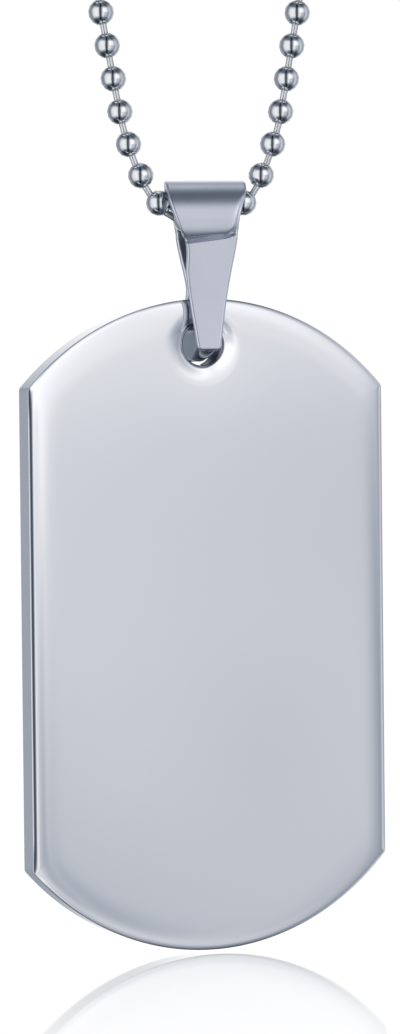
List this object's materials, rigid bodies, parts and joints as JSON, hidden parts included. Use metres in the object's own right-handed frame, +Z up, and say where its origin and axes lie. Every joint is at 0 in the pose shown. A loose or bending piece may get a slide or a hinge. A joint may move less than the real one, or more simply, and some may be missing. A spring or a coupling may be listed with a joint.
{
  "type": "identification tag necklace",
  "caption": "Blank polished steel identification tag with arched ends, hung by a folded, tapered bail on a closed ball chain with a barrel clasp.",
  "frame": {"origin": "under the middle of the clasp, where the top of the loop lies on the nape or on a hook", "axes": "+Z up, front of the tag towards -Y, the chain's loop in the XZ plane"},
  "size_m": [0.0894, 0.0108, 0.3259],
  "materials": {
    "tag_steel": "stainless steel plate, mirror polished",
    "bail_steel": "stainless steel strip, folded and polished",
    "bead_steel": "stainless steel beads, rolled and tumbled bright",
    "wire_steel": "drawn stainless steel wire",
    "clasp_steel": "stainless steel barrel, turned and tumbled bright"
  },
  "bodies": {
    "chain": {"bead_chain": "bead_steel", "chain_wire": "wire_steel", "clasp": "clasp_steel"},
    "bail": {"bail": "bail_steel"},
    "tag": {"tag": "tag_steel"}
  },
  "joints": [
    {"name": "bail_swing", "type": "hinge", "parent": "chain", "child": "bail", "pos_m": [0, 0, -0.26594], "axis": [1, 0, 0], "range_deg": [-60, 60]},
    {"name": "tag_swing", "type": "hinge", "parent": "bail", "child": "tag", "pos_m": [0, 0, -0.27637], "axis": [0.2924, -0.9563, 0], "range_deg": [-30, 30]}
  ]
}
